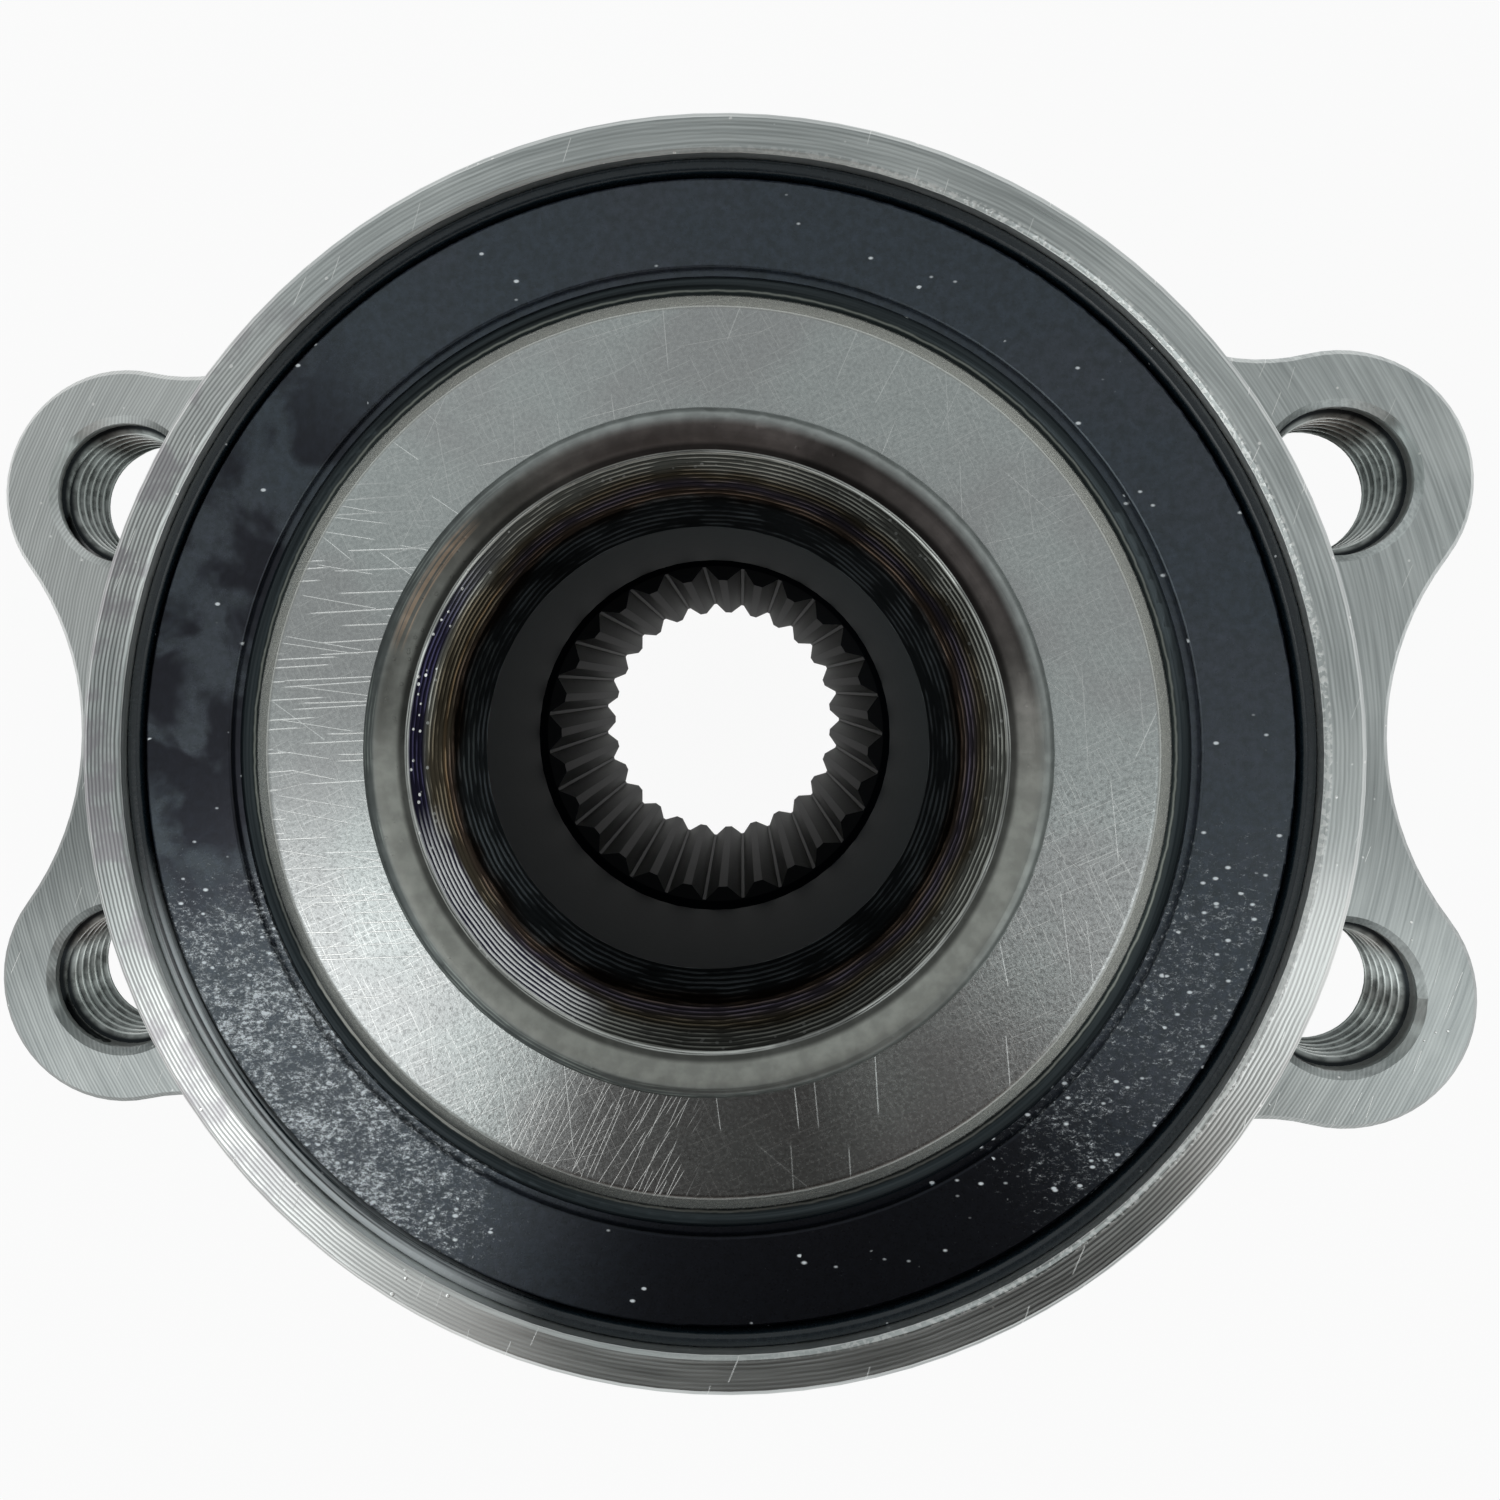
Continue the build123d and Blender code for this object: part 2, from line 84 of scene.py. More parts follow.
# =====================================================================
# Node graphs
# =====================================================================
class Graph:
    """Short ways to build a shader's nodes."""

    def __init__(self, tree):
        self.tree = tree
        tree.nodes.clear()

    def add(self, kind, **settings):
        node = self.tree.nodes.new(kind)
        for name, value in settings.items():
            setattr(node, name, value)
        return node

    def feed(self, socket, value):
        if isinstance(value, bpy.types.NodeSocket):
            self.tree.links.new(value, socket)
        elif value is not None:
            socket.default_value = value

    def math(self, operation, *values):
        node = self.add("ShaderNodeMath", operation=operation)
        for socket, value in zip(node.inputs, values):
            self.feed(socket, value)
        return node.outputs[0]

    def fold(self, operation, values):
        """One operation over several numbers, from left to right."""
        total = values[0]
        for value in values[1:]:
            total = self.math(operation, total, value)
        return total

    def mul(self, *values):
        return self.fold("MULTIPLY", values)

    def plus(self, *values):
        return self.fold("ADD", values)

    def minus(self, a, b):
        return self.math("SUBTRACT", a, b)

    def most(self, *values):
        """The largest of several numbers."""
        return self.fold("MAXIMUM", values)

    def vector(self, x, y, z):
        node = self.add("ShaderNodeCombineXYZ")
        for socket, value in zip(node.inputs, (x, y, z)):
            self.feed(socket, value)
        return node.outputs[0]

    def step(self, value, low, high, out_low=0.0, out_high=1.0):
        """Smooth change from out_low to out_high as value goes from low to high."""
        node = self.add("ShaderNodeMapRange", interpolation_type="SMOOTHSTEP")
        for name, number in zip(("Value", "From Min", "From Max", "To Min", "To Max"),
                                (value, low, high, out_low, out_high)):
            self.feed(node.inputs[name], number)
        return node.outputs[0]

    def inside(self, value, low, high, soft):
        """1 where value lies between low and high, 0 outside."""
        return self.mul(self.step(value, low - soft, low + soft),
                        self.step(value, high - soft, high + soft, 1.0, 0.0))

    def noise(self, vector, scale, detail, roughness=0.5, w=None, distortion=0.0):
        node = self.add("ShaderNodeTexNoise", noise_dimensions="3D" if w is None else "4D")
        self.feed(node.inputs["Vector"], vector)
        if w is not None:
            self.feed(node.inputs["W"], w)
        for name, number in (("Scale", scale), ("Detail", detail), ("Roughness", roughness),
                             ("Distortion", distortion)):
            node.inputs[name].default_value = number
        return node.outputs["Fac"]

    def cells(self, vector, scale):
        """Distance to the nearest scattered point, and that point's own random value."""
        node = self.add("ShaderNodeTexVoronoi")
        self.feed(node.inputs["Vector"], vector)
        node.inputs["Scale"].default_value = scale
        split = self.add("ShaderNodeSeparateColor")
        self.feed(split.inputs[0], node.outputs["Color"])
        return node.outputs["Distance"], split.outputs[0]

    def mix(self, factor, a, b):
        node = self.add("ShaderNodeMix", data_type="RGBA")
        self.feed(node.inputs["Factor"], factor)
        self.feed(node.inputs["A"], rgba(a))
        self.feed(node.inputs["B"], rgba(b))
        return node.outputs["Result"]

    def blend(self, factor, a, b):
        """Number between a and b."""
        node = self.add("ShaderNodeMix", data_type="FLOAT")
        for socket, value in zip(node.inputs[:], (factor, None, a, b)):
            self.feed(socket, value)
        return node.outputs[0]

    def scaled(self, color, factor):
        """Colour times a number."""
        node = self.add("ShaderNodeVectorMath", operation="SCALE")
        self.feed(node.inputs[0], color)
        self.feed(node.inputs["Scale"], factor)
        return node.outputs[0]

    def paint(self, color, other, mask, amount):
        """Colour turned towards another by a share where the mask is 1."""
        return self.mix(self.mul(mask, amount), color, other)

    def dim(self, color, mask, amount=None):
        """Colour made darker where the mask is 1, by a share or all the way."""
        dark = mask if amount is None else self.mul(mask, amount)
        return self.scaled(color, self.minus(1.0, dark))

    def bump(self, height, distance):
        node = self.add("ShaderNodeBump")
        node.inputs["Strength"].default_value = 1.0
        node.inputs["Distance"].default_value = distance
        self.feed(node.inputs["Height"], height)
        return node.outputs[0]


def rgba(color):
    return (*color, 1.0) if isinstance(color, tuple) and len(color) == 3 else color


class Surface(Graph):
    """A material with one Principled shader and coordinates about the hub axis, in millimetres."""

    def __init__(self, name, metallic=1.0, anisotropic=0.0, specular=0.5):
        self.material = bpy.data.materials.new(name)
        self.material.use_nodes = True
        super().__init__(self.material.node_tree)
        self.shader = self.add("ShaderNodeBsdfPrincipled")
        self.shader.inputs["Metallic"].default_value = metallic
        self.shader.inputs["Specular IOR Level"].default_value = specular
        output = self.add("ShaderNodeOutputMaterial")
        self.feed(output.inputs["Surface"], self.shader.outputs[0])
        if anisotropic:
            self.shader.inputs["Anisotropic"].default_value = anisotropic
            tangent = self.add("ShaderNodeTangent", direction_type="RADIAL", axis="Z")
            self.feed(self.shader.inputs["Tangent"], tangent.outputs[0])
            self.shader.inputs["Anisotropic Rotation"].default_value = 0.25
        place = self.add("ShaderNodeTexCoord").outputs["Object"]
        self.place = self.scaled(place, 1000.0)
        split = self.add("ShaderNodeSeparateXYZ")
        self.feed(split.inputs[0], self.place)
        self.x, self.y, self.z = split.outputs
        self.radius = self.math("SQRT", self.plus(self.mul(self.x, self.x), self.mul(self.y, self.y)))
        self.turn_x = self.math("DIVIDE", self.x, self.radius)
        self.turn_y = self.math("DIVIDE", self.y, self.radius)

    def finish(self, color, roughness, normal):
        self.feed(self.shader.inputs["Base Color"], rgba(color))
        self.feed(self.shader.inputs["Roughness"], roughness)
        self.feed(self.shader.inputs["Normal"], normal)
        return self.material

    def rings(self, per_mm, detail=2.0, wander=1.5):
        """Concentric tool marks: noise that changes fast across the marks and slowly along them."""
        around = self.vector(self.mul(self.turn_x, wander), self.mul(self.turn_y, wander),
                             self.mul(self.z, per_mm))
        return self.noise(around, 1.0, detail=detail, w=self.mul(self.radius, per_mm))

    def grooves(self, pitch, uneven):
        """Regular concentric cuts of one pitch, a little deeper in some places than in others."""
        drift = self.noise(self.place, 0.25, detail=2.0)
        turns = self.plus(self.mul(self.radius, 1 / pitch), drift)
        wave = self.plus(self.mul(self.math("SINE", self.mul(turns, tau)), 0.5), 0.5)
        around = self.vector(self.mul(self.turn_x, 5.0), self.mul(self.turn_y, 5.0), 0.0)
        patchy = self.noise(around, 1.0, detail=3.0, w=self.mul(self.radius, 1.2))
        return self.mul(wave, self.step(patchy, 0.3, 0.7, 1.0 - uneven, 1.0))

    def facing(self, angle, low, high):
        """Rises from 0 to 1 on the side of the hub that lies at one angle, in degrees from +x
        towards +y; low and high are cosines of how far from that angle it starts and is full."""
        way_x, way_y = cos(radians(angle)), sin(radians(angle))
        toward = self.plus(self.mul(self.turn_x, way_x), self.mul(self.turn_y, way_y))
        return self.step(toward, low, high)

    def streaks(self, angle, length, spacing, keep, seed, width, fan=0.6):
        """Thin straight scratches near one angle: one in each scattered cell that is kept."""
        way_x, way_y = cos(radians(angle)), sin(radians(angle))
        along = self.plus(self.mul(self.x, way_x), self.mul(self.y, way_y))
        along = self.mul(along, 1 / length)
        across = self.minus(self.mul(self.y, way_x), self.mul(self.x, way_y))
        across = self.mul(across, 1 / spacing)
        here_x, here_y = self.plus(along, seed), self.plus(across, seed * 7.0)
        node = self.add("ShaderNodeTexVoronoi", voronoi_dimensions="2D")
        self.feed(node.inputs["Vector"], self.vector(here_x, here_y, 0.0))
        node.inputs["Scale"].default_value = 1.0
        middle = self.add("ShaderNodeSeparateXYZ")
        self.feed(middle.inputs[0], node.outputs["Position"])
        chance = self.add("ShaderNodeSeparateColor")
        self.feed(chance.inputs[0], node.outputs["Color"])
        off_x = self.minus(here_x, middle.outputs[0])
        off_y = self.minus(here_y, middle.outputs[1])
        lean = self.mul(self.minus(chance.outputs[1], 0.5), off_x, fan)
        off = self.mul(self.math("ABSOLUTE", self.minus(off_y, lean)), spacing)
        line = self.step(off, width, width * 0.4)
        ends = self.step(self.math("ABSOLUTE", off_x), 0.48, 0.34)
        kept = self.math("GREATER_THAN", chance.outputs[0], keep)
        faded = self.plus(0.45, self.mul(chance.outputs[2], 0.55))
        return self.mul(line, ends, self.mul(kept, faded))


# =====================================================================
# Materials
# =====================================================================
STEEL = (0.62, 0.655, 0.645)
STEEL_DARK = (0.46, 0.49, 0.485)
STEEL_PALE = (0.86, 0.89, 0.87)
FORGED = (0.16, 0.165, 0.16)
FORGED_PALE = (0.30, 0.31, 0.30)
VIOLET = (0.34, 0.31, 0.34)
OXIDE = (0.0125, 0.0200, 0.0225)
BLACK = (0.004, 0.005, 0.007)
FLANK = (0.085, 0.088, 0.080)
# Brown painted shade for the bottom of the ring's face.
SHADE_BROWN = (0.030, 0.024, 0.022)
# Bright metal of scratches and nicks, also the colour of painted highlights on the rim and lugs.
SCRATCH_AND_HIGHLIGHT = (1.0, 1.0, 0.98)

# Radii and heights on the object, in millimetres, where finishes change.
PILOT = 41.0
RIM_INNER = 38.3
FLANGE_NECK = 43.3
RING_EDGE = 28.2
RING_SHOULDER = 29.25
LIP_INNER = 19.0
LIP_BOTTOM = 27.0
MOUTH_BOTTOM = 21.4
BORE = 15.0
RELIEF = 15.9
RELIEF_BOTTOM, RELIEF_TOP = -8.75, -4.55
SPLINE_TOP = -8.65
SPLINE_ROOT = 14.75
SPLINE_TIP = 13.6
SLINGER_BEND = 30.1


def outer_ring_steel():
    """Turned pilot, rim and lug faces; blasted forging on the flange's outline and back."""
    s = Surface("outer_ring_steel", anisotropic=0.85)
    normal = s.add("ShaderNodeSeparateXYZ")
    s.feed(normal.inputs[0], s.add("ShaderNodeTexCoord").outputs["Normal"])
    side = s.step(s.math("ABSOLUTE", normal.outputs[2]), 0.75, 0.6)
    flat = s.minus(1.0, side)
    cut = s.mul(s.grooves(0.27, 0.5), flat)
    fine = s.rings(4.2, detail=3.0, wander=5.0)
    color = turned_rim(s, fine)
    # Painted shade: the groove bottoms made darker.
    color = s.mix(painted_groove_shade(s, cut, flat), color, s.scaled(color, 0.32))
    color = violet_patches(s, color, flat)
    bright = rim_wear(s, flat)
    color = s.mix(bright, color, SCRATCH_AND_HIGHLIGHT)

    below = s.step(s.z, -0.6, -1.2)
    forged = s.mul(side, below, s.step(s.radius, FLANGE_NECK, FLANGE_NECK + 0.3))
    grain = s.noise(s.place, 2.6, detail=4.0, roughness=0.7)
    color = s.mix(forged, color, s.mix(grain, FORGED, FORGED_PALE))
    rough = s.blend(forged, s.plus(0.24, s.mul(fine, 0.12)), 0.62)
    groove_depth = s.blend(s.step(s.z, 5.0, 8.0), 0.35, 1.0)
    marks = s.plus(s.mul(cut, groove_depth), s.mul(fine, 0.5))
    height = s.blend(forged, s.plus(marks, bright), s.mul(grain, 5.0))
    return s.finish(color, rough, s.bump(height, 0.010 * MM))


def turned_rim(s, fine):
    """Pale turned steel, with painted highlights on some sides of the rim and on one lug, and painted
    shade darkening the lower lugs.
    """
    cloud = s.noise(s.place, 0.14, detail=3.0)
    color = s.mix(s.step(fine, 0.30, 0.70), (0.50, 0.53, 0.525), (0.74, 0.775, 0.765))
    color = s.mix(s.step(cloud, 0.42, 0.7), color, s.mix(0.35, color, STEEL_PALE))
    # Painted highlight: the rim's face turned towards white on three sides.
    painted_shine = s.most(s.facing(228, 0.84, 0.95), s.facing(333, 0.93, 0.98))
    painted_shine = s.most(painted_shine, s.mul(s.facing(152, 0.93, 0.98), 0.55))
    painted_shine = s.mul(painted_shine, s.step(s.radius, PILOT + 1.5, PILOT + 0.5))
    color = s.paint(color, SCRATCH_AND_HIGHLIGHT, painted_shine, 0.65)
    lug = s.step(s.radius, PILOT + 1.5, PILOT + 2.5)
    # Painted highlight on the lug at the upper left.
    color = s.paint(color, SCRATCH_AND_HIGHLIGHT, s.mul(s.facing(158, 0.9, 0.97), lug), 0.45)
    # Painted shade: the lower lugs made darker.
    lug_shade = s.most(s.facing(202, 0.9, 0.97), s.mul(s.facing(338, 0.9, 0.97), 0.55))
    return s.dim(color, s.mul(lug_shade, lug), 0.40)


def painted_groove_shade(s, cut, flat):
    """Painted shade in the groove bottoms: more on two sides, less on the lug faces."""
    lined = s.most(s.facing(190, 0.45, 0.85), s.facing(315, 0.9, 0.98))
    lined = s.blend(lined, 0.25, 0.85)
    valley = s.mul(s.step(cut, 0.55, 0.15), s.mul(lined, s.step(s.z, -2.0, 20.0, 0.45, 1.0)))
    return s.mul(valley, flat)


def violet_patches(s, color, flat):
    """A faint violet cast on the left of the rim's face."""
    patches = s.step(s.noise(s.place, 0.5, detail=4.0), 0.45, 0.65)
    violet = s.mul(patches, s.step(s.turn_x, -0.5, -0.9), s.step(s.z, 22.0, 25.0), flat)
    return s.paint(color, VIOLET, violet, 0.6)


def rim_wear(s, flat):
    """Bright metal: the rim's inner edge, small nicks and a few scratches."""
    rubbed_and_lit = s.step(s.noise(s.place, 3.2, detail=4.0), 0.46, 0.60)
    worn_and_lit = s.mul(s.inside(s.radius, RIM_INNER, RIM_INNER + 0.5, 0.08), rubbed_and_lit)
    line = s.inside(s.radius, RIM_INNER + 0.04, RIM_INNER + 0.12, 0.03)
    inner_edge = s.most(s.mul(worn_and_lit, s.facing(0, -0.3, 0.7)), s.mul(line, 0.5))
    nick_at, nick_value = s.cells(s.place, 1.1)
    nick = s.mul(s.step(nick_at, 0.16, 0.08), s.step(nick_value, 0.86, 0.88))
    scratch = s.streaks(70, length=2.4, spacing=0.7, keep=0.93, seed=3.0, width=0.035)
    return s.most(nick, s.mul(inner_edge, 0.7), s.mul(scratch, flat))


def ring_steel():
    """Ground face with scratches in every direction, and an outer edge with painted light and shade."""
    s = Surface("ring_steel", anisotropic=0.5)
    grind = s.rings(9.0, detail=2.0, wander=9.0)
    mottle = s.noise(s.place, 4.2, detail=4.0, roughness=0.7)
    patch = s.noise(s.place, 0.10, detail=2.0)
    color = s.mix(s.step(mottle, 0.3, 0.7), STEEL_DARK, STEEL)
    color = s.mix(s.step(patch, 0.4, 0.62), s.mix(0.3, color, (0.40, 0.36, 0.37)), color)

    marks = deep_scratches(s)
    faint = s.most(s.streaks(25, length=3.0, spacing=0.40, keep=0.45, seed=11.0, fan=1.2, width=0.028),
                   s.streaks(-65, length=3.0, spacing=0.40, keep=0.45, seed=13.0, fan=1.2, width=0.028))
    # Sides where the highlights fall: darker speckle and brighter faint scratches there; the marks are
    # real, their extra contrast is painted light.
    worn_and_lit = s.most(s.facing(225, 0.75, 0.92), s.facing(335, 0.86, 0.97))
    speckle = s.step(s.noise(s.place, 3.4, detail=4.0, roughness=0.8), 0.50, 0.60)
    color = s.mix(s.mul(speckle, s.blend(worn_and_lit, 0.12, 0.55)), color, s.scaled(color, 0.45))
    # Painted shade: the face darker and browner towards the bottom.
    color = s.paint(color, SHADE_BROWN, s.facing(270, 0.88, 0.98), 0.5)
    color = s.mix(s.mul(faint, s.blend(worn_and_lit, 0.3, 0.6)), color, SCRATCH_AND_HIGHLIGHT)
    color = s.mix(marks, color, SCRATCH_AND_HIGHLIGHT)

    color = ring_edge(s, color)
    rough = s.plus(0.19, s.mul(mottle, 0.14))
    marred = s.mul(mottle, s.blend(worn_and_lit, 0.5, 1.6))
    height = s.minus(s.plus(s.mul(grind, 0.4), marred), s.mul(marks, 1.3))
    return s.finish(color, rough, s.bump(height, 0.006 * MM))


def deep_scratches(s):
    """Near-level scratches on the left, single ones all over, and a bundle near the bottom."""
    left = s.step(s.turn_x, -0.70, -0.92)
    marks = s.mul(s.streaks(3, length=9.0, spacing=0.7, keep=0.42, seed=1.0, width=0.050), left)
    more = s.mul(s.streaks(-9, length=6.0, spacing=0.7, keep=0.70, seed=4.0, width=0.032), left)
    marks = s.most(marks, more)
    for angle, seed, keep in ((12, 2.0, 0.90), (-38, 5.0, 0.93), (66, 7.0, 0.90), (97, 9.0, 0.90)):
        single = s.streaks(angle, length=7.0, spacing=1.2, keep=keep, seed=seed, fan=0.9, width=0.028)
        marks = s.most(marks, s.mul(single, 0.6))
    for angle, seed in ((66, 21.0), (58, 24.0)):
        bundle = s.streaks(angle, length=6.0, spacing=0.5, keep=0.45, seed=seed, fan=0.5, width=0.035)
        bundle = s.mul(bundle, s.facing(253, 0.95, 0.985))
        marks = s.most(marks, s.mul(bundle, 0.8))
    return marks


def ring_edge(s, color):
    """The sloped outer edge and the shoulder below it, with painted light and shade: bright on the
    lower left, darker outward and towards the bottom.
    """
    line = s.inside(s.radius, RING_EDGE + 0.05, RING_EDGE + 0.16, 0.05)
    slope = s.step(s.radius, RING_EDGE, RING_EDGE + 0.4)
    # Painted highlight on the lower left, painted shade outward and at the bottom.
    lower_left = s.facing(225, 0.78, 0.95)
    outward = s.step(s.radius, RING_EDGE + 0.4, RING_EDGE + 1.0)
    dull_and_shaded = s.mix(outward, (0.60, 0.59, 0.54), (0.25, 0.25, 0.23))
    painted_light = s.mix(lower_left, (1.0, 0.98, 0.90), dull_and_shaded)
    painted_light = s.paint(painted_light, (0.03, 0.026, 0.024), s.facing(272, 0.80, 0.97), 0.5)
    color = s.paint(color, painted_light, slope, 0.9)
    color = s.paint(color, (0.25, 0.25, 0.24), line, 0.5)
    # Painted light on the shoulder: bright on the lower left, dark elsewhere.
    shoulder = s.mix(lower_left, (0.78, 0.78, 0.71), (0.20, 0.20, 0.19))
    return s.mix(s.step(s.radius, RING_SHOULDER, RING_SHOULDER + 0.17), color, shoulder)


def spindle_steel():
    """Burnished lip, heat-tinted turned mouth, dark oxide bore, broached spline, turned flange."""
    s = Surface("spindle_steel", anisotropic=0.6)
    fine = s.rings(8.0, detail=3.0, wander=2.0)
    cut = s.grooves(0.22, 0.8)
    wave = s.noise(s.place, 0.16, detail=2.0, distortion=0.6)
    specks = s.noise(s.place, 1.4, detail=4.0, roughness=0.7)
    left = s.step(s.turn_x, -0.55, -0.95)
    chips = mouth_chips(s, left)

    mouth = s.mul(s.step(s.radius, LIP_INNER + 0.12, LIP_INNER + 0.02),
                  s.step(s.z, MOUTH_BOTTOM - 0.2, MOUTH_BOTTOM + 0.1))
    lip = s.mul(s.step(s.radius, LIP_INNER, LIP_INNER + 0.1),
                s.step(s.z, LIP_BOTTOM, LIP_BOTTOM + 0.1))
    inner = s.mul(s.step(s.radius, BORE + 0.02, BORE - 0.02),
                  s.step(s.z, MOUTH_BOTTOM + 0.05, MOUTH_BOTTOM - 0.05))
    relief = s.mul(s.step(s.radius, RELIEF, RELIEF - 0.05),
                   s.inside(s.z, RELIEF_BOTTOM, RELIEF_TOP, 0.03))
    spline = s.mul(s.step(s.z, SPLINE_TOP, SPLINE_TOP - 0.1),
                   s.step(s.radius, SPLINE_ROOT + 0.07, SPLINE_ROOT))

    color = s.mix(s.step(fine, 0.3, 0.7), STEEL_DARK, STEEL)
    color = s.mix(lip, color, lip_color(s, fine, cut))
    color = s.mix(mouth, color, mouth_color(s, cut, wave, specks, left, chips))
    color = s.mix(inner, color, bore_color(s, specks))
    color = spline_color(s, color, spline, specks)
    color = s.mix(relief, color, BLACK)

    s.feed(s.shader.inputs["Metallic"], s.minus(1.0, s.mul(spline, 0.75)))
    dull_and_shaded = s.most(inner, relief)
    rough = s.plus(0.25, s.mul(fine, 0.14))
    rough = s.blend(lip, rough, s.plus(0.34, s.mul(fine, 0.12)))
    rough = s.blend(s.most(dull_and_shaded, spline), rough, 0.62)
    strength = s.plus(0.10, s.mul(mouth, 3.5))
    height = s.plus(s.mul(cut, strength), s.mul(fine, 0.5))
    height = s.plus(height, s.mul(chips, 2.0))
    height = s.blend(dull_and_shaded, height, s.mul(specks, 1.2))
    return s.finish(color, rough, s.bump(height, 0.008 * MM))


def mouth_chips(s, left):
    """Small chips out of the tinted layer near the sharp edge, most of them on the left."""
    chip_at, chip_value = s.cells(s.place, 2.2)
    zone = s.mul(s.step(s.radius, 17.6, 18.4), s.blend(left, 0.25, 1.0))
    return s.mul(s.step(chip_at, 0.30, 0.2), s.step(chip_value, 0.72, 0.75), zone)


def mouth_color(s, cut, wave, specks, left, chips):
    """Heat tints from the sharp edge inward, then painted light and shade, chips and painted
    highlights.
    """
    depth = s.plus(s.radius, s.mul(s.minus(wave, 0.5), 1.2))
    tint = s.mix(s.step(depth, 17.6, 18.3), (0.15, 0.125, 0.088), (0.36, 0.365, 0.33))
    tint = s.mix(s.mul(s.inside(s.radius, 18.05, 18.95, 0.15), left), tint, (0.035, 0.032, 0.065))
    purple = s.mul(s.inside(depth, 16.7, 17.3, 0.3), s.step(left, 0.8, 0.2))
    tint = s.mix(purple, tint, (0.115, 0.098, 0.130))
    tint = s.mix(s.inside(depth, 16.1, 16.8, 0.25), tint, (0.13, 0.092, 0.070))
    # Painted highlight: a yellow-brown line on the left.
    gold_glint = s.mul(s.inside(s.radius, 16.85, 17.02, 0.12), s.facing(165, 0.75, 0.95))
    tint = s.paint(tint, (0.24, 0.15, 0.075), gold_glint, 0.6)
    tint = s.mix(s.step(depth, 16.5, 15.9), tint, (0.33, 0.37, 0.40))
    pale_lines = s.mul(s.inside(s.radius, 15.45, 16.15, 0.08), s.facing(172, 0.90, 0.98), cut)
    tint = s.paint(tint, (0.24, 0.27, 0.25), pale_lines, 0.7)
    tint = s.mix(s.step(cut, 0.30, 0.70), s.scaled(tint, 0.25), s.scaled(tint, 1.25))
    tint = s.mix(chips, tint, (0.75, 0.76, 0.74))
    # Painted light and shade by side.
    tint = mouth_light_and_shade(s, tint)

    # Painted highlight: white lines on the groove ridges on the lower left, dark between them.
    rubbed_and_lit = s.mul(s.facing(221, 0.86, 0.97), s.inside(s.radius, 17.4, 18.9, 0.15))
    painted_light = s.mix(s.step(cut, 0.12, 0.38), (0.030, 0.028, 0.055), (1.0, 1.0, 1.0))
    tint = s.mix(s.mul(rubbed_and_lit, s.step(specks, 0.25, 0.55, 0.8, 1.0)), tint, painted_light)
    sharp_edge = s.mul(s.step(s.radius, 18.86, 18.95), s.step(wave, 0.30, 0.55, 0.35, 1.0))
    return s.mix(sharp_edge, tint, (0.70, 0.71, 0.68))


def mouth_light_and_shade(s, tint):
    """Painted light and shade by side: lighter on most sides, darker to the right, at the bottom, on
    the upper side and on the upper left.
    """
    painted_level = s.blend(s.facing(25, 0.5, 0.9), 1.7, 0.9)
    tint = s.scaled(tint, s.minus(painted_level, s.mul(s.facing(283, 0.3, 0.9), 1.1)))
    bottom = s.mul(s.facing(285, 0.80, 0.95), 0.50, s.step(s.radius, 17.4, 17.8))
    right = s.mul(s.facing(45, 0.83, 0.95), 0.55, s.step(s.radius, 16.5, 17.0))
    tint = s.dim(tint, s.most(bottom, right))
    tint = s.dim(tint, s.facing(105, 0.78, 0.95), 0.42)
    upper_left_shade = s.mul(s.facing(150, 0.84, 0.97), s.step(s.radius, 17.8, 17.4))
    return s.dim(tint, upper_left_shade, 0.55)


def lip_color(s, fine, cut):
    """The formed lip: brownish inner side with painted shade on some sides, grey rolled crest painted
    lighter towards the top, a dark line and a painted reddish highlight.
    """
    # Inner side: a brownish tint, with painted shade making it darker towards the top and on two more
    # sides.
    warm_and_shaded = s.mix(s.facing(66, 0.1, 0.85), (0.37, 0.375, 0.345), (0.135, 0.118, 0.113))
    warm_and_shaded = s.scaled(warm_and_shaded, s.step(s.facing(42, 0.80, 0.93), 0.0, 1.0, 1.15, 0.42))
    warm_and_shaded = s.scaled(warm_and_shaded, s.step(s.facing(150, 0.80, 0.97), 0.0, 1.0, 1.0, 0.40))
    # Painted light: the crest lighter towards the top.
    outer = s.mix(s.facing(75, 0.0, 0.8), (0.34, 0.36, 0.345), (0.47, 0.495, 0.485))
    color = s.mix(s.step(s.radius, 20.5, 21.3), warm_and_shaded, outer)
    color = s.paint(color, (0.12, 0.135, 0.13), s.inside(s.radius, 21.35, 21.65, 0.1), 0.6)
    collar = s.mul(s.inside(s.radius, 20.95, 21.8, 0.12), s.facing(200, -0.2, 0.7))
    ridged = s.mix(s.step(cut, 0.3, 0.7), (0.07, 0.08, 0.08), (0.24, 0.27, 0.25))
    color = s.paint(color, ridged, collar, 0.8)
    # Painted highlight: a reddish glint on the upper left.
    glint_band = s.mul(s.inside(s.radius, 20.1, 20.9, 0.15), s.facing(148, 0.965, 0.995))
    copper_glint = s.mul(glint_band, s.step(fine, 0.45, 0.55))
    color = s.paint(color, (0.75, 0.52, 0.36), copper_glint, 0.45)
    cloud = s.step(s.noise(s.place, 0.9, detail=4.0), 0.35, 0.7)
    color = s.mix(cloud, s.scaled(color, 0.78), color)
    return s.mix(s.step(s.radius, 19.62, 19.3), color, s.scaled(color, 0.30))


def bore_color(s, specks):
    """Dark oxide, darkest on the lower left."""
    wall = s.mix(s.step(specks, 0.35, 0.7), OXIDE, s.scaled(OXIDE, 1.4))
    return s.scaled(wall, s.step(s.plus(s.turn_x, s.turn_y), -1.2, 1.2, 0.45, 1.0))


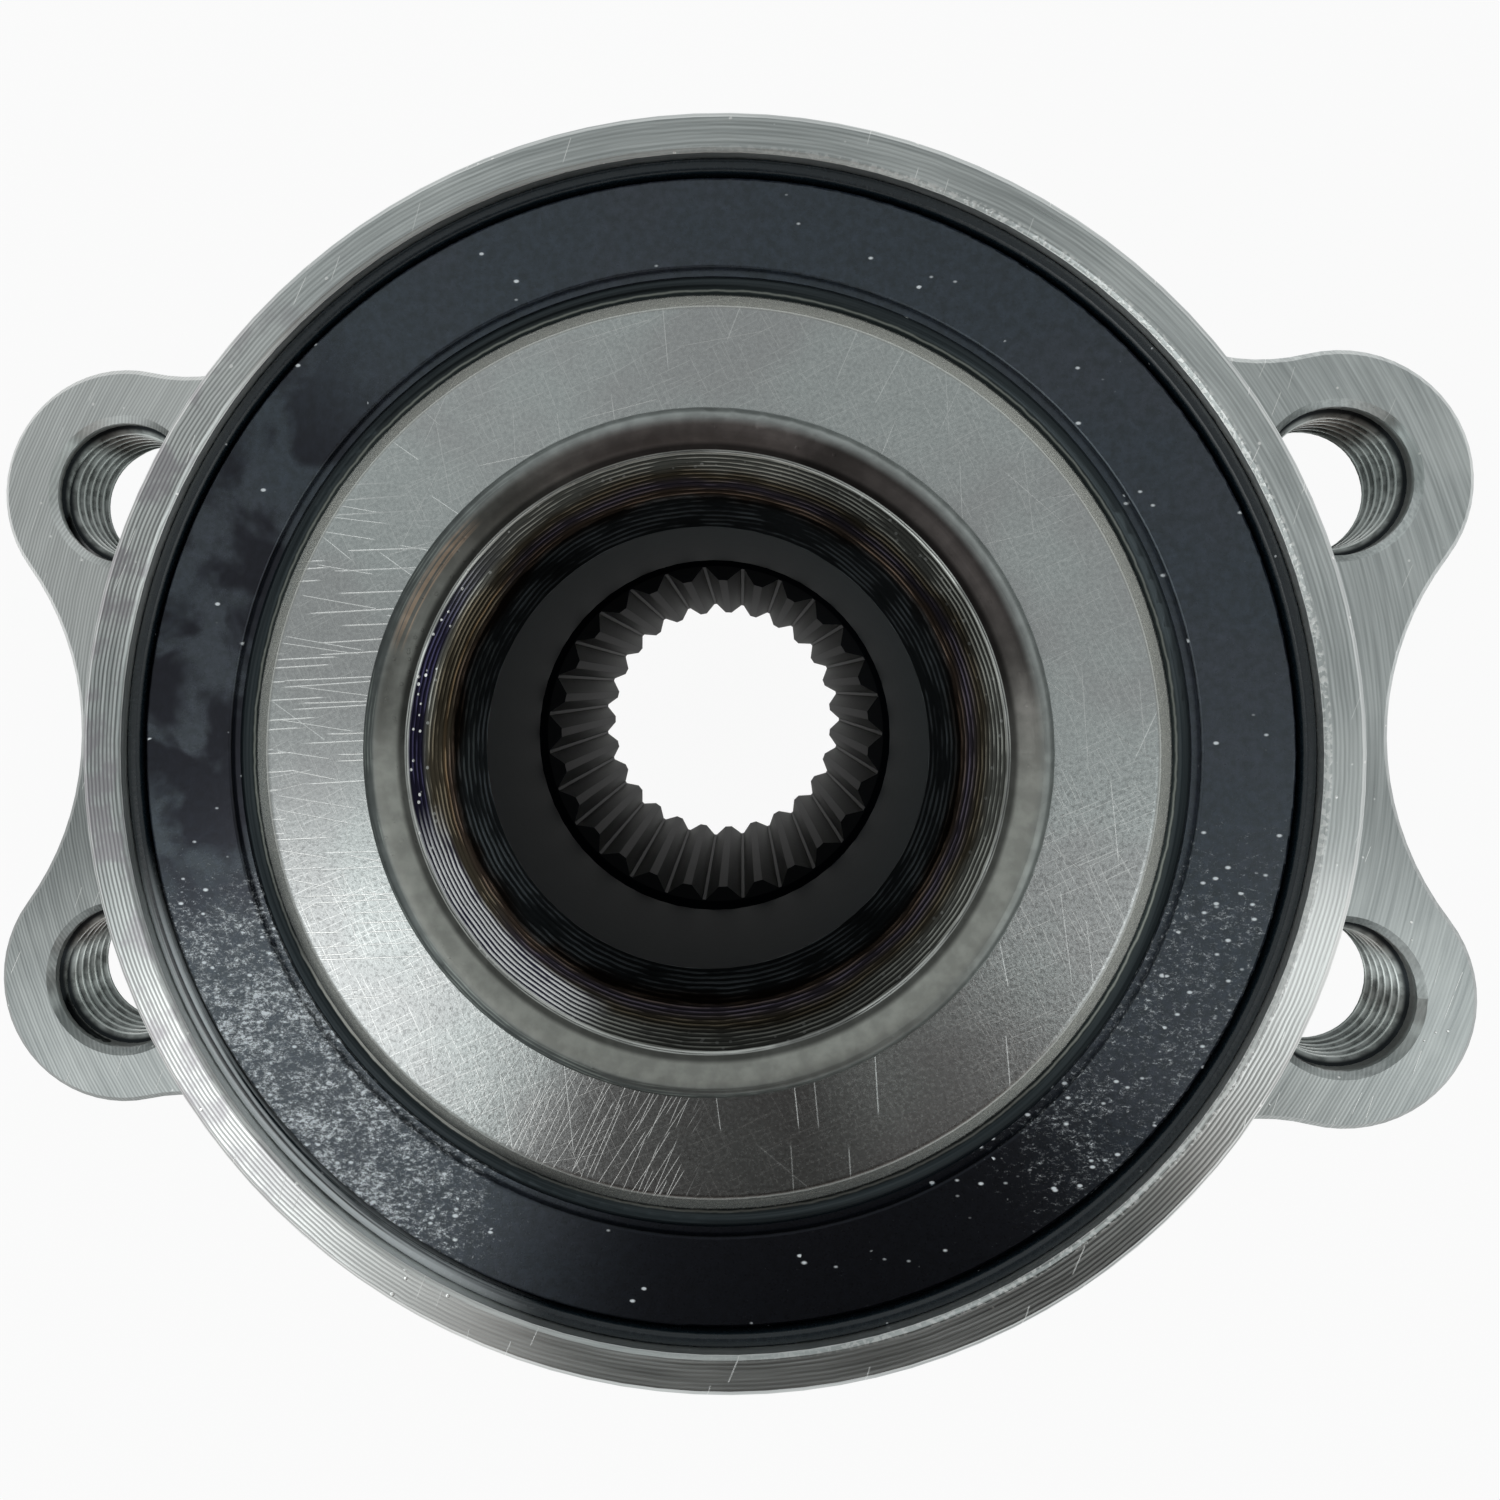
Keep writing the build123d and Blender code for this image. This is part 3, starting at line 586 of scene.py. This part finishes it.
def spline_color(s, color, spline, specks):
    """Broached teeth: grey flanks with painted light that grows towards the roots, a painted dark line
    at each root, and dark lands.
    """
    flank = s.mix(s.step(specks, 0.3, 0.75), s.scaled(FLANK, 0.75), FLANK)
    # Painted light: the flanks paler towards the roots.
    color = s.mix(spline, color, s.scaled(flank, s.step(s.radius, SPLINE_TIP, 14.7, 0.75, 1.9)))
    # Painted shade: a dark line along each root.
    roots = s.mul(spline, s.step(s.radius, 14.58, 14.66))
    color = s.mix(roots, color, s.scaled(FLANK, 0.25))
    land = s.mul(spline, s.step(s.radius, SPLINE_TIP + 0.02, SPLINE_TIP - 0.02))
    return s.mix(land, color, s.scaled(FLANK, 0.30))


def encoder_rubber():
    """Magnetised rubber: fine grain, bright specks, painted sheen on two sides, a wet-looking stain and
    painted shade at the bottom.
    """
    s = Surface("encoder_rubber", metallic=0.0, specular=0.95)
    s.shader.inputs["Specular Tint"].default_value = (0.80, 0.92, 1.0, 1.0)
    grain = s.noise(s.place, 6.0, detail=4.0, roughness=0.75)
    soot = s.noise(s.place, 1.6, detail=5.0, roughness=0.75)
    cloud = s.noise(s.place, 0.11, detail=3.0)
    color = s.mix(s.step(grain, 0.3, 0.75), (0.009, 0.012, 0.019), (0.017, 0.023, 0.034))
    color = s.mix(s.step(cloud, 0.4, 0.65), color, s.mix(0.5, color, (0.020, 0.018, 0.026)))
    color = s.scaled(color, s.step(soot, 0.30, 0.72, 0.35, 1.9))

    # Painted sheen: the two sides where glints are painted.
    glint_sides = s.most(s.facing(220, 0.84, 0.97), s.mul(s.facing(328, 0.86, 0.98), 0.62))
    dust_and_sheen = encoder_dust_and_sheen(s, glint_sides)
    stain_at = s.noise(s.place, 0.20, detail=3.0, distortion=0.4)
    stain = s.mul(s.step(stain_at, 0.40, 0.56), s.facing(168, 0.76, 0.93), 0.75)
    # Painted shade: darker towards the bottom.
    bottom_shade = s.mul(s.facing(285, 0.75, 0.95), 0.85)
    color = s.mix(stain, color, (0.022, 0.020, 0.026))
    color = s.mix(bottom_shade, color, (0.013, 0.013, 0.017))
    color = s.mix(dust_and_sheen, color, (0.88, 0.92, 0.96))
    s.feed(s.shader.inputs["Metallic"], s.mul(s.most(stain, bottom_shade), s.minus(1.0, dust_and_sheen)))
    rough = s.blend(stain, s.plus(0.22, s.mul(grain, 0.14)), 0.18)
    height = s.plus(s.mul(grain, s.blend(glint_sides, 1.0, 2.0)), dust_and_sheen)
    height = s.blend(stain, height, s.mul(grain, 0.1))
    return s.finish(color, rough, s.bump(height, 0.007 * MM))


def encoder_dust_and_sheen(s, glint_sides):
    """Bright specks in groups, and painted sheen: drifts of fine foil-like glints, with more fine
    specks, on the sides where the light glints.
    """
    group = s.step(s.noise(s.place, 0.22, detail=2.0), 0.46, 0.60)
    flat = s.vector(s.mul(s.x, 0.62), s.y, s.z)
    at, value = s.cells(flat, 1.0)
    speck = s.mul(s.step(at, 0.17, 0.07), s.math("GREATER_THAN", value, s.blend(group, 0.985, 0.90)))
    fine_at, fine_value = s.cells(flat, 2.1)
    fine_limit = s.minus(s.blend(glint_sides, 0.978, 0.66), s.mul(group, 0.04))
    fine_speck = s.mul(s.step(fine_at, 0.30, 0.12), s.math("GREATER_THAN", fine_value, fine_limit))
    foil = s.noise(flat, 3.8, detail=5.0, roughness=0.9, distortion=0.3)
    drifts = s.noise(s.place, 0.45, detail=3.0)
    sheen = s.plus(foil, s.mul(glint_sides, s.step(drifts, 0.34, 0.62, 0.165, 0.24)))
    dust_and_sheen = s.most(s.mul(s.step(sheen, 0.66, 0.76), 0.30), s.step(sheen, 0.74, 0.79))
    return s.most(dust_and_sheen, s.most(speck, fine_speck))


def seal_rubber():
    """Smooth moulded rubber, black with a blue-green cast, and a painted highlight on the lower left.
    """
    s = Surface("seal_rubber", metallic=0.0, specular=0.6)
    grain = s.noise(s.place, 3.0, detail=3.0)
    color = s.mix(grain, (0.004, 0.008, 0.011), (0.012, 0.020, 0.027))
    at, value = s.cells(s.place, 1.2)
    speck = s.mul(s.step(at, 0.12, 0.06), s.step(value, 0.90, 0.92))
    color = s.mix(speck, color, (0.5, 0.52, 0.54))
    rings = s.rings(3.2, wander=1.0)
    # Painted highlight: bright rings on the lower left.
    painted_light = s.mul(s.facing(222, 0.84, 0.97), s.step(rings, 0.42, 0.58))
    color = s.mix(painted_light, color, (0.62, 0.66, 0.68))
    return s.finish(color, s.plus(0.20, s.mul(grain, 0.12)), s.bump(s.plus(grain, rings), 0.010 * MM))


def slinger_steel():
    """Blackened pressed steel; a bright line along the crest of its bend, partly wear and partly
    painted highlight, and a painted glint on the lower left.
    """
    s = Surface("slinger_steel", anisotropic=0.4)
    fine = s.rings(6.0, detail=3.0)
    color = s.mix(s.step(fine, 0.35, 0.65), (0.030, 0.038, 0.042), (0.060, 0.072, 0.078))
    wander = s.mul(s.minus(s.noise(s.place, 0.9, detail=3.0), 0.5), 0.16)
    uneven = s.plus(s.radius, wander)
    # Bright line on the bend: partly wear, partly painted highlight.
    crest = s.inside(uneven, SLINGER_BEND - 0.06, SLINGER_BEND + 0.04, 0.05)
    color = s.mix(s.mul(crest, 0.7), color, (0.42, 0.44, 0.43))
    # Painted highlight: a white glint on the lower left.
    glint = s.inside(uneven, SLINGER_BEND - 0.18, SLINGER_BEND + 0.02, 0.04)
    color = s.mix(s.mul(glint, s.facing(226, 0.93, 0.985)), color, (1.0, 1.0, 0.97))
    return s.finish(color, s.plus(0.24, s.mul(fine, 0.12)), s.bump(fine, 0.006 * MM))


def plain_metal(name, dark, pale, roughness, per_mm=6.0, anisotropic=0.4):
    """Pressed, lapped or plated metal with fine marks."""
    s = Surface(name, anisotropic=anisotropic)
    fine = s.rings(per_mm, detail=3.0)
    cloud = s.noise(s.place, 0.5, detail=3.0)
    color = s.mix(s.step(s.plus(s.mul(fine, 0.5), s.mul(cloud, 0.5)), 0.35, 0.65), dark, pale)
    return s.finish(color, s.plus(roughness, s.mul(cloud, 0.12)), s.bump(fine, 0.006 * MM))


def cage_plastic():
    """Glass-filled polyamide."""
    s = Surface("cage_plastic", metallic=0.0)
    grain = s.noise(s.place, 2.5, detail=4.0, roughness=0.7)
    color = s.mix(grain, (0.035, 0.032, 0.028), (0.075, 0.068, 0.058))
    return s.finish(color, s.plus(0.45, s.mul(grain, 0.15)), s.bump(grain, 0.02 * MM))


def thread_steel():
    """Cut thread: crests painted bright and roots painted dark, as painted highlight and shade."""
    s = Surface("thread_steel")
    crest = THREAD_MINOR / MM
    spacing = mount("knuckle_bolts")["dims"]
    from_x = s.minus(s.math("ABSOLUTE", s.x), spacing["spacing_x_mm"] / 2)
    from_y = s.minus(s.math("ABSOLUTE", s.y), spacing["spacing_y_mm"] / 2)
    hole_radius = s.math("SQRT", s.plus(s.mul(from_x, from_x), s.mul(from_y, from_y)))
    cloud = s.noise(s.place, 0.9, detail=3.0)
    flank = s.mix(s.step(cloud, 0.35, 0.65), (0.16, 0.17, 0.165), (0.36, 0.38, 0.37))
    # Painted shade towards the roots, painted highlight on the crests.
    color = s.mix(s.step(hole_radius, crest + 0.15, crest + 0.50), flank, (0.020, 0.023, 0.025))
    color = s.mix(s.step(hole_radius, crest + 0.12, crest + 0.03), color, (0.66, 0.69, 0.67))
    return s.finish(color, s.plus(0.22, s.mul(cloud, 0.12)), s.bump(cloud, 0.006 * MM))


def materials():
    """All finishes: one for each slot of the record, and the thread's own."""
    return {
        "outer_ring_steel": outer_ring_steel(),
        "ring_steel": ring_steel(),
        "spindle_steel": spindle_steel(),
        "encoder_rubber": encoder_rubber(),
        "seal_rubber": seal_rubber(),
        "ball_steel": plain_metal("ball_steel", (0.72, 0.73, 0.74), (0.82, 0.83, 0.84),
                                  roughness=0.06, per_mm=1.0, anisotropic=0.0),
        "seal_steel": plain_metal("seal_steel", (0.20, 0.21, 0.21), (0.32, 0.33, 0.33), roughness=0.35),
        "slinger_steel": slinger_steel(),
        "stud_steel": plain_metal("stud_steel", (0.30, 0.31, 0.30), (0.46, 0.47, 0.45),
                                  roughness=0.32, per_mm=3.0, anisotropic=0.0),
        "cage_plastic": cage_plastic(),
        "thread_steel": thread_steel(),
    }


def dress(skins):
    """Every CAD node takes the material of its slot in the record."""
    for row in frame["record"]["subparts"]:
        mesh = frame["nodes"][row["node"]].data
        mesh.materials.clear()
        mesh.materials.append(skins[row["material_slot"]])


# =====================================================================
# Threads and studs
# =====================================================================
THREAD_PITCH = 1.25 * MM
THREAD_MAJOR = 6.0 * MM
THREAD_MINOR = 5.3 * MM
RIDGE_FOOT = 0.47 * THREAD_PITCH
RIDGE_TIP = 0.08 * THREAD_PITCH
RIDGE_OVERLAP = 0.02 * MM
RUN_OUT_HEIGHT = 0.04
STEPS_PER_TURN = 48
RUN_OUT_STEPS = STEPS_PER_TURN / 3
LATHE_SEGMENTS = 96
SHARP_ANGLE = radians(35)


def add_helix(mesh, base, crest, low, high):
    """A closed ridge that winds from height low to high; base is the radius of its foot."""
    outward = 1 if crest > base else -1
    turns = (high - low) / THREAD_PITCH - 1
    steps = int(turns * STEPS_PER_TURN)
    root = base - outward * RIDGE_OVERLAP
    rows = []
    for i in range(steps + 1):
        angle = tau * i / STEPS_PER_TURN
        middle = low + THREAD_PITCH / 2 + THREAD_PITCH * i / STEPS_PER_TURN
        fade = min(1.0, i / RUN_OUT_STEPS, (steps - i) / RUN_OUT_STEPS)
        peak = base + (crest - base) * max(fade, RUN_OUT_HEIGHT)
        corners = ((root, -RIDGE_FOOT), (peak, -RIDGE_TIP), (peak, RIDGE_TIP), (root, RIDGE_FOOT))
        rows.append([mesh.verts.new((r * cos(angle), r * sin(angle), middle + h)) for r, h in corners])
    for one, two in zip(rows, rows[1:]):
        for j in range(4):
            mesh.faces.new((one[j], one[(j + 1) % 4], two[(j + 1) % 4], two[j]))
    mesh.faces.new(rows[0])
    mesh.faces.new(list(reversed(rows[-1])))


def add_lathe(mesh, profile):
    """A closed turned solid from (radius, height) pairs that start and end on the axis."""
    poles = [mesh.verts.new((0, 0, profile[0][1])), mesh.verts.new((0, 0, profile[-1][1]))]
    turns = [tau * i / LATHE_SEGMENTS for i in range(LATHE_SEGMENTS)]
    rings = [[mesh.verts.new((radius * cos(turn), radius * sin(turn), height)) for turn in turns]
             for radius, height in profile[1:-1]]
    for i in range(LATHE_SEGMENTS):
        j = (i + 1) % LATHE_SEGMENTS
        mesh.faces.new((poles[0], rings[0][i], rings[0][j]))
        mesh.faces.new((poles[1], rings[-1][j], rings[-1][i]))
        for one, two in zip(rings, rings[1:]):
            mesh.faces.new((one[i], two[i], two[j], one[j]))


def add_piece(name, mesh, material, body, place):
    """Turns a bmesh into a piece that rides on a body."""
    bmesh.ops.recalc_face_normals(mesh, faces=mesh.faces)
    data = bpy.data.meshes.new(name)
    mesh.to_mesh(data)
    mesh.free()
    data.transform(place)
    data.materials.append(material)
    data.polygons.foreach_set("use_smooth", [True] * len(data.polygons))
    data.set_sharp_from_angle(angle=SHARP_ANGLE)
    piece = bpy.data.objects.new(name, data)
    bpy.context.scene.collection.objects.link(piece)
    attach(piece, body)
    return piece


def lug_threads(skins):
    """The tapped thread inside each lug hole."""
    bolts = mount("knuckle_bolts")
    half_x = bolts["dims"]["spacing_x_mm"] * MM / 2
    half_y = bolts["dims"]["spacing_y_mm"] * MM / 2
    thickness = -2 * bolts["pos_m"][2]
    lead_in = 0.9 * MM
    for number, (sx, sy) in enumerate(((1, 1), (-1, 1), (-1, -1), (1, -1)), 1):
        mesh = bmesh.new()
        add_helix(mesh, THREAD_MAJOR, THREAD_MINOR, -thickness + lead_in / 2, -lead_in)
        place = Matrix.Translation((sx * half_x, sy * half_y, 0))
        add_piece(f"lug_thread_{number}", mesh, skins["thread_steel"],
                  "fixed_side", place)


STUD_HEAD = 4.0 * MM
STUD_SHOULDER = 6.2 * MM
STUD_PILOT = 4.6 * MM
STUD_PLAIN_END = 5.2 * MM


def stud_profile(head, top, tip):
    """Radius and height from the dished head down to the thread and its plain pilot end."""
    dish = [(0, top - 0.25 * MM), (head * 0.45, top - 0.2 * MM), (head * 0.55, top)]
    rim = [(head - 1.0 * MM, top), (head - 0.3 * MM, top - 0.3 * MM), (head, top - 1.0 * MM)]
    shank = [(head, top - STUD_HEAD), (STUD_SHOULDER, top - STUD_HEAD), (STUD_SHOULDER, WHEEL_FACE)]
    core = [(THREAD_MINOR, WHEEL_FACE), (THREAD_MINOR, tip + 3.9 * MM)]
    pilot = [(STUD_PILOT, tip + 3.5 * MM), (STUD_PILOT, tip + 0.7 * MM)]
    end = [(4.2 * MM, tip + 0.1 * MM), (3.8 * MM, tip), (0, tip)]
    return dish + rim + shank + core + pilot + end


def wheel_studs(skins):
    """Threaded studs in place of the plain ones."""
    for number in range(1, 6):
        node = f"wheel_stud_{number}"
        low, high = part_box(node)
        centre = Vector(((low[0] + high[0]) / 2, (low[1] + high[1]) / 2, 0))
        head, top, tip = (high[0] - low[0]) / 2, high[2], low[2]
        mesh = bmesh.new()
        add_lathe(mesh, stud_profile(head, top, tip))
        add_helix(mesh, THREAD_MINOR, THREAD_MAJOR, tip + STUD_PLAIN_END, WHEEL_FACE + 0.3 * MM)
        stud = add_piece(f"threaded_stud_{number}", mesh, skins["stud_steel"],
                         "hub", Matrix.Translation(centre))
        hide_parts(node)


# =====================================================================
# Floor, light and camera
# =====================================================================
# Floor: a plane in metres, just below the object.
FLOOR_SIZE = 6.0
FLOOR_DROP = 0.02 * MM
FLOOR_GREY = (0.82, 0.82, 0.82, 1)
FLOOR_GLOW = 0.93
# Room: brightness overhead and at the horizon, and the two tints.
PLAIN_LEVEL = 0.42
HORIZON_LEVEL = 0.62
PALE_TINT = (0.955, 1.0, 1.0)
DOOR_TINT = (1.30, 0.97, 0.83)
# Camera: picture and lens in pixels, sensor in mm, tilt about x and y in degrees.
PICTURE_SIDE = 1500
SENSOR_WIDTH = 36
FOCAL_PIXELS = 1450
CENTRE_PIXELS = (631.4, 670.5)
CAMERA_PLACE = (2.44 * MM, 4.06 * MM, RIM + 92.565 * MM)
CAMERA_TILT = (-0.66, -4.35)


def floor():
    """Plain pale floor; camera and mirror rays see it nearly white, and it keeps some shadow."""
    bpy.ops.mesh.primitive_plane_add(size=FLOOR_SIZE, location=(0, 0, FLOOR - FLOOR_DROP))
    plane = bpy.context.object
    plane.name = "floor"
    material = bpy.data.materials.new("floor")
    material.use_nodes = True
    g = Graph(material.node_tree)
    rays = g.add("ShaderNodeLightPath").outputs
    seen = g.most(rays["Is Camera Ray"], rays["Is Glossy Ray"], rays["Is Transmission Ray"])
    matte = g.add("ShaderNodeBsdfDiffuse")
    matte.inputs["Color"].default_value = FLOOR_GREY
    white = g.add("ShaderNodeEmission")
    white.inputs["Color"].default_value = (1, 1, 1, 1)
    both = g.add("ShaderNodeMixShader")
    g.feed(both.inputs[0], g.mul(seen, FLOOR_GLOW))
    g.feed(both.inputs[1], matte.outputs[0])
    g.feed(both.inputs[2], white.outputs[0])
    g.feed(g.add("ShaderNodeOutputMaterial").inputs["Surface"], both.outputs[0])
    plane.data.materials.append(material)


def world():
    """Pale room: brighter to the lower left and right, a dark doorway below, plain at the horizon."""
    scene_world = bpy.data.worlds.new("room")
    bpy.context.scene.world = scene_world
    scene_world.use_nodes = True
    g = Graph(scene_world.node_tree)
    split = g.add("ShaderNodeSeparateXYZ")
    g.feed(split.inputs[0], g.add("ShaderNodeTexCoord").outputs["Generated"])
    x, y, z = split.outputs

    # Where a direction points, in degrees: round from -x by way of -y, and down from straight up.
    side = g.math("DEGREES", g.math("ARCTAN2", g.mul(y, -1.0), g.mul(x, -1.0)))
    tilt = g.math("DEGREES", g.math("ARCCOSINE", z))
    low_left = g.mul(g.inside(side, 21, 55, 6), g.step(tilt, 9, 28))
    low_right = g.mul(g.inside(side, 139, 164, 6), g.step(tilt, 9, 28))
    upper_left = g.mul(g.inside(side, -72, -20, 8), g.step(tilt, 4, 16))
    door = g.mul(g.inside(side, 68, 136, 6), g.step(tilt, 2, 10))
    horizon = g.step(tilt, 52, 74)

    level = g.plus(PLAIN_LEVEL, g.mul(g.step(x, -0.2, 0.6), 0.04))
    for place, more in ((low_left, 1.05), (low_right, 0.95), (upper_left, 0.13)):
        level = g.plus(level, g.mul(place, more))
    level = g.mul(level, g.plus(1.0, g.mul(door, g.step(tilt, 55, 85, -0.95, -0.50))))
    level = g.blend(horizon, level, HORIZON_LEVEL)
    tint = g.mix(g.mul(door, g.minus(1.0, horizon)), PALE_TINT, DOOR_TINT)
    back = g.add("ShaderNodeBackground")
    g.feed(back.inputs["Color"], g.scaled(tint, level))
    back.inputs["Strength"].default_value = 1.0
    g.feed(g.add("ShaderNodeOutputWorld").inputs["Surface"], back.outputs[0])


def lamp(name, direction, distance, size, power):
    """Square soft lamp that looks at the rim."""
    light = bpy.data.lights.new(name, "AREA")
    light.size = size
    light.energy = power
    holder = bpy.data.objects.new(name, light)
    bpy.context.scene.collection.objects.link(holder)
    way = Vector(direction).normalized()
    holder.location = Vector((0, 0, RIM)) + way * distance
    holder.rotation_euler = way.to_track_quat("Z", "Y").to_euler()


def camera():
    """Close above the rim, nearly along the axis."""
    lens = bpy.data.cameras.new("camera")
    lens.sensor_width = SENSOR_WIDTH
    lens.lens = SENSOR_WIDTH * FOCAL_PIXELS / PICTURE_SIDE
    lens.shift_x = (PICTURE_SIDE / 2 - CENTRE_PIXELS[0]) / PICTURE_SIDE
    lens.shift_y = (CENTRE_PIXELS[1] - PICTURE_SIDE / 2) / PICTURE_SIDE
    lens.clip_start = 0.001
    lens.clip_end = 20
    holder = bpy.data.objects.new("camera", lens)
    bpy.context.scene.collection.objects.link(holder)
    tilt = Vector((radians(CAMERA_TILT[0]), radians(CAMERA_TILT[1]), 0))
    turn = Quaternion(tilt.normalized(), tilt.length).inverted()
    holder.matrix_world = Matrix.Translation(CAMERA_PLACE) @ turn.to_matrix().to_4x4()
    bpy.context.scene.camera = holder


# =====================================================================
# The scene
# =====================================================================
skins = materials()
dress(skins)
lug_threads(skins)
wheel_studs(skins)
floor()
world()
lamp("key", direction=(-0.40, -0.29, 1.0), distance=0.28, size=0.08, power=0.026)
camera()
bpy.context.scene.view_settings.view_transform = "Standard"
